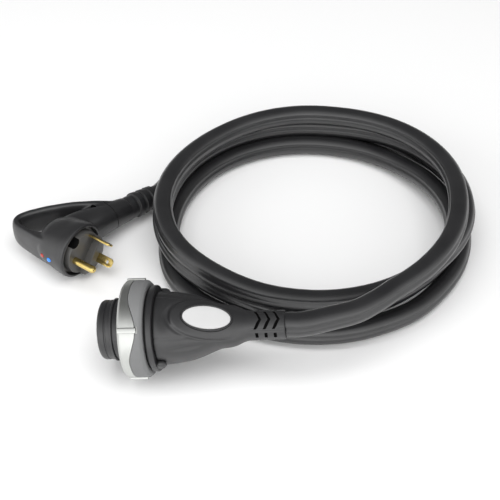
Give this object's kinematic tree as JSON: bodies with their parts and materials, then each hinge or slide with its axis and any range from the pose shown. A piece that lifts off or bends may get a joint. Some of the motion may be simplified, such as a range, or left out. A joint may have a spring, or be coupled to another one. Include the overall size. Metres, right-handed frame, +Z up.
{
  "type": "shore power cord",
  "caption": "Coiled heavy power cord with a twist-lock connector with a turning locking ring and a right-angle plug with a pull handle.",
  "frame": {"origin": "on the floor, under the middle of the connector's bounding box (connector, ring and strain relief sleeve, without cord and plug)", "axes": "+X along the connector from its nose towards its cord, +Y from the connector towards the coil, +Z up"},
  "size_m": [0.419, 0.3496, 0.0787],
  "materials": {
    "shell_black": "satin moulded",
    "grip_black": "satin moulded",
    "cord_black": "satin jacket",
    "ring_silver": "glossy silver",
    "ring_grey": "matte grey",
    "badge_white": "smooth off-white",
    "carrier_grey": "matte",
    "brass": "bright",
    "steel": "zinc plated",
    "red_lamp": "clear red lens",
    "blue_lamp": "clear blue lens",
    "hot_wire": "wire insulation",
    "neutral_wire": "wire insulation",
    "ground_wire": "wire insulation"
  },
  "bodies": {
    "connector": {"nose_shell": "shell_black", "nose_lip": "shell_black", "contact_carrier": "carrier_grey", "contact_hot": "brass", "contact_neutral": "brass", "contact_ground": "brass", "terminal_hot": "brass", "terminal_neutral": "brass", "terminal_ground": "brass", "terminal_screw_hot": "steel", "terminal_screw_neutral": "steel", "terminal_screw_ground": "steel", "conductor_hot": "hot_wire", "conductor_neutral": "neutral_wire", "conductor_ground": "ground_wire", "collar": "shell_black", "grip_body": "grip_black", "badge_bezel": "shell_black", "badge_plate": "badge_white", "strain_relief": "grip_black", "cord_clamp_upper": "steel", "cord_clamp_lower": "steel", "cord_lead": "cord_black", "cord_coil": "cord_black", "cord_tail": "cord_black", "plug_housing": "shell_black", "plug_strain_relief": "grip_black", "pull_handle": "grip_black", "handle_screw": "steel", "face_rim": "shell_black", "face_insert": "carrier_grey", "blade_hot": "brass", "blade_neutral": "brass", "ground_pin": "brass", "lamp_red": "red_lamp", "lamp_blue": "blue_lamp"},
    "locking_ring": {"ring_shell": "ring_silver", "ring_grip": "ring_grey", "ring_thread": "ring_grey"}
  },
  "joints": [
    {"name": "ring_turn", "type": "hinge", "parent": "connector", "child": "locking_ring", "pos_m": [-0.04252, 0, 0.03961], "axis": [0.9925, 0, 0.1219], "continuous": true}
  ]
}
